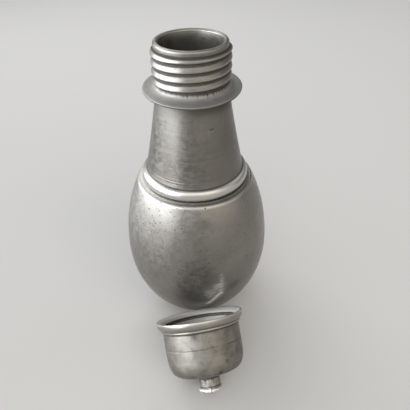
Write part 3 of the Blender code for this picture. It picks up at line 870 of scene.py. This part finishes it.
def makeCup():
    s = capCup
    radius, edge, crown, mouth = capReach["cap_cup"], capTop["cap_cup"], capFoot["cap_cup"], capTop["cap_rim"]
    bend, inner = (s["crownRadius"], crown + s["cornerDepth"]), radius - s["wall"]
    reach = (radius - bend[0], s["cornerDepth"])
    corner = arcLine(bend, reach, 0, -90, 40, s["cornerFullness"])
    outside = closeRows([(radius, edge)] + corner + [(s["hole"], crown)], s["rowGap"])
    reach = (inner - bend[0], s["cornerDepth"] - s["crown"])
    corner = arcLine(bend, reach, -90, 0, 30, s["cornerFullness"])
    inside = closeRows([(s["hole"], crown + s["crown"])] + corner + [(inner, edge)], s["rowGap"])
    work = turnOnLathe(outside + inside, s["steps"])
    middle, line = Vector((0, 0, bend[1])), mouth - s["line"]
    for vert in work.verts:
        co, out = vert.co, sideways(vert.co)
        if vert.normal.dot(co - middle) > 0 and out.length > s["hole"] + 2.5 * mm and co.z < edge - 0.2 * mm:
            depth = s["unevenness"] * lowSpots(co, s["unevenSize"])
            depth += s["lineDepth"] * near(line, s["lineWidth"], co.z)
            vert.co -= vert.normal * depth
        elif vert.normal.dot(out) < 0 and co.z > bend[1]:
            vert.co -= out.normalized() * s["ridgeHeight"] * innerRidge(co)
    stains = []
    for x, y, height, reach, dark in cupStains:
        stains.append((Vector((x * mm, y * mm, crown + height * mm)), reach * mm, dark))

    def masks(v):
        z, inside = v.co.z, v.normal.dot(v.co - middle) < 0
        dirt = near(line, s["lineDirt"], z) * (0.55 + 0.5 * wobble(v.co, 7 * mm))
        dirt += s["rootDirt"] * ease(*s["rootReach"], outOf(v.co)) * ease(crown + 1.2 * mm, crown + 0.3 * mm, z)
        dirt += max(dark * near(0, reach, (v.co - place).length) for place, reach, dark in stains)
        dirt += s["edgeDirt"] * near(edge - 1.3 * mm, 0.6 * mm, z)
        return {
            "dirt": (1 - inside) * dirt, "inside": s["insideTone"] * inside,
            "pitted": (1 - inside) * (0.25 + 0.5 * max(0.0, wobble(v.co, 8 * mm, 2.0))),
        }

    placePiece(work, masks, s["look"], "cupPewter", "capCup", "cap", "cap_pewter", "cap_cup")


makeCup()

# Rim: a flared lip with a narrow skirt that holds the edge of the cup, and a funnel with a groove under it inside
capRim = dict(
    lengths(
        rowGap=0.35, bore=20.3, skirt=21.0, skirtBevel=(0.2, 0.25), height=4.0, edgeRound=0.4, throat=18.9,
        funnelDepth=2.45, funnelPull=(0.7, 0.9), lip=0.95, lipDrop=0.12, grooveDepth=0.4,
        grooveRise=(0.4, 0.7, 0.25), unevenness=0.02, unevenSize=6, rollEdge=(22.0, 21.2),
        grooveEdge=(20.0, 19.6)),
    steps=224, rollDirt=0.9, grooveDirt=1.2, wear=0.6, pits=0.05,
    look=dict(
        light=(0.36, 0.343, 0.313), dark=(0.28, 0.266, 0.241), gloss=0.34, dull=0.42,
        inside=(0.52, 0.502, 0.47), insideMetal=0.4,
        ringRadial=0.8, ringDepth=0.003, dentDepth=0.0),
)


def makeRim():
    s = capRim
    radius, mouth, skirtFoot = capReach["cap_rim"], capTop["cap_rim"], capFoot["cap_rim"]
    foot, deep, rounding = mouth - s["height"], mouth - s["funnelDepth"], s["edgeRound"]
    lipTop = arcLine((radius - rounding, mouth - rounding), (rounding, rounding), 90, 0, 5)
    roll = arcLine((s["skirt"], mouth - rounding), (radius - s["skirt"], s["height"] - rounding), 0, -90, 16)
    across, rise = s["skirtBevel"]
    skirt = [(s["skirt"], skirtFoot + rise), (s["skirt"] - across, skirtFoot)]
    skirt += [(s["bore"], skirtFoot), (s["bore"], foot)]
    throat, wide = s["throat"], s["throat"] + s["grooveDepth"]
    first, second, last = s["grooveRise"]
    groove = [(throat, foot), (throat, foot + first), (wide, foot + second), (wide, deep - last)]
    across, drop = s["funnelPull"]
    lipEdge = radius - s["lip"]
    funnel = bentLine((throat, deep), (throat + across, mouth - drop), (lipEdge, mouth - s["lipDrop"]), 10)
    lip = bentLine(funnel[-1], (lipEdge + 0.2 * mm, mouth), lipTop[0], 3)[1:-1]
    line = closeRows(lipTop + roll[1:] + skirt + groove + funnel + lip, s["rowGap"])
    work = turnOnLathe(line, s["steps"])
    wearDown(work, s["skirt"] + 0.2 * mm, s)

    def masks(v):
        z, out = v.co.z, outOf(v.co)
        underRoll = near(foot, 0.45 * mm, z) * ease(*s["rollEdge"], out)
        # dirt and painted shade in the groove under the funnel
        inGroove = ease(throat + 0.15 * mm, throat + 0.3 * mm, out) * ease(*s["grooveEdge"], out)
        inGroove *= near(deep - 0.5 * mm, 0.5 * mm, z)
        inFunnel = ease(radius - 0.6 * mm, radius - 1.1 * mm, out) * ease(deep - 0.1 * mm, deep + 0.2 * mm, z)
        atLip = ease(radius - 0.9 * mm, radius - 0.3 * mm, out) * ease(mouth - 1.4 * mm, mouth - 0.5 * mm, z)
        return {
            "dirt": s["rollDirt"] * underRoll + s["grooveDirt"] * inGroove,
            "inside": inFunnel * (v.normal.z > 0.05), "worn": s["wear"] * atLip, "pitted": s["pits"],
        }

    placePiece(work, masks, s["look"], "rimPewter", "capRim", "cap", "cap_pewter", "cap_rim")


makeRim()

# Nipple: a short stub whose end is torn and spread, with a lip that droops at the front
tornNipple = dict(
    lengths(
        rowGap=0.2, radius=5.5, rootRadius=6.1, rootHeight=1.6, spigot=3.8, spigotLength=1.7, bore=1.7,
        boreStart=1.6, shank=(3.4, 2.2), lipHeight=1.55, lipGroove=0.3, mouth=((4.4, 0.2), (2.4, 1.2)),
        flute=0.14, tear=0.7, spread=0.45, droop=0.6),
    steps=144, rootDirt=1.3, streakDirt=1.2, grooveDirt=0.9,
    look=dict(
        light=(0.36, 0.343, 0.315), worn=(0.80, 0.78, 0.74), gloss=0.26, dull=0.46,
        cloudScale=160.0, dentDepth=0.09, pitShare=0.3, dirtScale=1400.0),
)


def nippleLine(tip, crown):
    s = tornNipple
    radius, neckIn, half = s["radius"], s["radius"] - s["lipGroove"], s["lipHeight"] / 2
    rootFoot = (radius, crown - s["rootHeight"])
    root = bentLine((s["rootRadius"], crown), (radius + 0.1 * mm, crown - 0.5 * mm), rootFoot, 8)
    start, pull = s["shank"]
    shank = bentLine((radius, tip + start), (radius, tip + pull), (neckIn, tip + s["lipHeight"] + 0.15 * mm), 6)
    flare = arcLine((capReach["nipple"] - half, tip + half), (half, half), 75, -90, 12)
    line = [(s["spigot"], crown + s["spigotLength"]), (s["spigot"], crown)] + root + shank + flare[1:]
    line += [(out, tip + lift) for out, lift in s["mouth"]]
    line += [(s["bore"], tip + s["boreStart"]), (s["bore"], crown + s["spigotLength"])]
    return closeRows(line, s["rowGap"])


# Two sizes of noise round the stub
def roundNoise(rim, sizes, shifts, share):
    coarse, fine = (noise.noise(rim * size + Vector(shift)) for size, shift in zip(sizes, shifts))
    return coarse + share * fine


def makeNipple():
    s = tornNipple
    tip, crown = 0.0, capFoot["cap_cup"] - seat
    work = turnOnLathe(nippleLine(tip, crown), s["steps"])
    for vert in work.verts:
        co, out = vert.co, sideways(vert.co)
        if out.length > s["spigot"] + 0.05 * mm and co.z < crown - 0.2 * mm:
            turn = turnOf(co)
            rim = Vector((math.cos(turn), math.sin(turn), 0))
            low = ease(2.4 * mm, 0.7 * mm, co.z)
            flutes = roundNoise(rim, (4.2, 10), ((0, 0, co.z / (6 * mm)), (3, 1, co.z / (4 * mm))), 0.6)
            torn = roundNoise(rim, (1.9, 6), ((7, 2, 0), (1, 9, 0)), 0.8)
            ragged = roundNoise(rim, (3.3, 9), ((5, 5, 5), (2, 4, 6)), 0.5)
            grown = -s["flute"] * (0.6 + 0.6 * flutes) - 0.5 * s["tear"] * low * max(0.0, torn)
            grown += s["spread"] * low * (rim.x ** 4 - 0.5)
            vert.co += out.normalized() * grown
            vert.co.z += s["tear"] * low * max(0.0, ragged - 0.1) * ease(3.0 * mm, 5.0 * mm, out.length)
            vert.co.z -= s["droop"] * low * max(0.0, -rim.y)
    radius, groove = s["radius"], s["lipHeight"] + 0.5 * mm

    def masks(v):
        z, out = v.co.z, outOf(v.co)
        grain = noise.noise(sideways(v.co).normalized() * 7 + Vector((0, 0, z / (14 * mm))))
        dirt = s["rootDirt"] * ease(crown - 4.6 * mm, crown - 2.4 * mm, z) + ease(4.2 * mm, 3.0 * mm, out)
        dirt += s["streakDirt"] * max(0.0, grain) * ease(2.4 * mm, 4 * mm, z)
        dirt += s["grooveDirt"] * near(groove, 0.45 * mm, z) * ease(radius + 0.2 * mm, radius - 0.3 * mm, out)
        return {
            "dirt": dirt, "inside": ease(3.6 * mm, 2.2 * mm, out), "pitted": 1.0,
            "worn": ease(2.0 * mm, 1.3 * mm, z) * ease(4.4 * mm, 5.2 * mm, out),
        }

    placePiece(work, masks, s["look"], "nipplePewter", "tornNipple", "cap", "nipple_pewter", "nipple", sharp=55)


makeNipple()

# Floor and room: a pale paper floor, and a sky that is brighter on the side that skyFrom points to
studio = dict(
    floorSize=6.0, floorCells=8, floorDrop=0.05 * mm,
    floorColour=(0.74, 0.735, 0.72), floorRough=0.7, floorSheen=0.1,
    skyDim=(0.235, 0.235, 0.237), skyBright=(0.66, 0.68, 0.70), skyFrom=(-0.86, -0.42, 0.28),
    skyFade=(-0.6, 1.0),
)

# A warm wall to the right of the camera: its heading, light, and where it starts and ends to fade in degrees
warmWall = dict(heading=(0.70, -0.68, 0.15), light=(0.97, 0.905, 0.82), fade=(16, 54))

# Softboxes: where each stands, its width and height in metres, its power in watts and its colour
softboxes = dict(
    keySoftbox=dict(place=(-0.65, -0.14, 0.22), size=(1.20, 0.70), power=17.5, colour=(0.91, 0.955, 1.0)),
    frontSoftbox=dict(place=(0.20, -0.92, 0.95), size=(1.6, 1.0), power=5.4, colour=(1.0, 0.96, 0.90)),
    backSoftbox=dict(place=(-0.35, 0.62, 0.75), size=(0.8, 0.4), power=2.6, colour=(1.0, 1.0, 1.0)),
    sideSoftbox=dict(place=(0.95, 0.50, 0.90), size=(1.0, 0.8), power=1.3, colour=(1.0, 1.0, 1.0)),
)


def makeFloor():
    cells = studio["floorCells"]
    work = bmesh.new()
    bmesh.ops.create_grid(work, x_segments=cells, y_segments=cells, size=studio["floorSize"] / 2)
    bmesh.ops.translate(work, vec=(0, 0, -studio["floorDrop"]), verts=work.verts)
    paint = bpy.data.materials.new("palePaper")
    paint.use_nodes = True
    shader = paint.node_tree.nodes["Principled BSDF"]
    shader.inputs["Base Color"].default_value = (*studio["floorColour"], 1)
    shader.inputs["Roughness"].default_value = studio["floorRough"]
    shader.inputs["Specular IOR Level"].default_value = studio["floorSheen"]
    floor = meshObject(work, "studioFloor", paint)
    return floor


def addSoftbox(name, place, size, power, colour, target=(0, 0, 0.07)):
    lamp = bpy.data.lights.new(name, "AREA")
    lamp.shape = "RECTANGLE"
    lamp.size, lamp.size_y = size
    lamp.energy = power
    lamp.color = colour
    box = bpy.data.objects.new(name, lamp)
    box.location = place
    box.rotation_euler = (Vector(target) - Vector(place)).to_track_quat("-Z", "Y").to_euler()
    bpy.context.scene.collection.objects.link(box)
    return box


def makeSky():
    world = bpy.data.worlds.new("softRoom")
    world.use_nodes = True
    bpy.context.scene.world = world
    tree = world.node_tree
    heading = addNode(tree, "ShaderNodeTexCoord").outputs["Generated"]
    start, end = (math.cos(math.radians(angle)) for angle in warmWall["fade"])
    colour = (*studio["skyDim"], 1)
    parts = ((studio["skyFrom"], studio["skyFade"], studio["skyBright"]),
             (warmWall["heading"], (end, start), warmWall["light"]))
    for middle, fade, light in parts:
        side = vectors(tree, "DOT_PRODUCT", {0: heading, 1: Vector(middle).normalized()})["Value"]
        colour = blendColour(tree, spread(tree, side, *fade), colour, (*light, 1))
    tree.links.new(colour, tree.nodes["Background"].inputs["Color"])


floor = makeFloor()
boxes = {name: addSoftbox(name, **values) for name, values in softboxes.items()}
offFloor = bpy.data.collections.new("keptOffFloor")  # the near key softbox would burn the floor out beside it
offFloor.objects.link(floor)
offFloor.collection_objects[0].light_linking.link_state = "EXCLUDE"
boxes["keySoftbox"].light_linking.receiver_collection = offFloor
makeSky()
print("floor and lights ready")

# Camera: its place in millimetres, its lens and sensor, and how far it looks down and leans in degrees
photoCamera = dict(
    place=(5.097, -201.857, 222.964), lens=39.51, sensor=36.0, nearest=0.01,
    tiltDown=37.627, roll=0.933,
)


def makeCamera():
    lens = bpy.data.cameras.new("photoCamera")
    lens.lens = photoCamera["lens"]
    lens.sensor_width = photoCamera["sensor"]
    lens.clip_start = photoCamera["nearest"]
    camera = bpy.data.objects.new("photoCamera", lens)
    tilt = Matrix.Rotation(math.radians(90 - photoCamera["tiltDown"]), 4, "X")
    roll = Matrix.Rotation(math.radians(-photoCamera["roll"]), 4, "Z")
    camera.matrix_world = Matrix.Translation(Vector(photoCamera["place"]) * mm) @ tilt @ roll
    bpy.context.scene.collection.objects.link(camera)
    bpy.context.scene.camera = camera


makeCamera()
bpy.context.scene.view_settings.view_transform = "Standard"
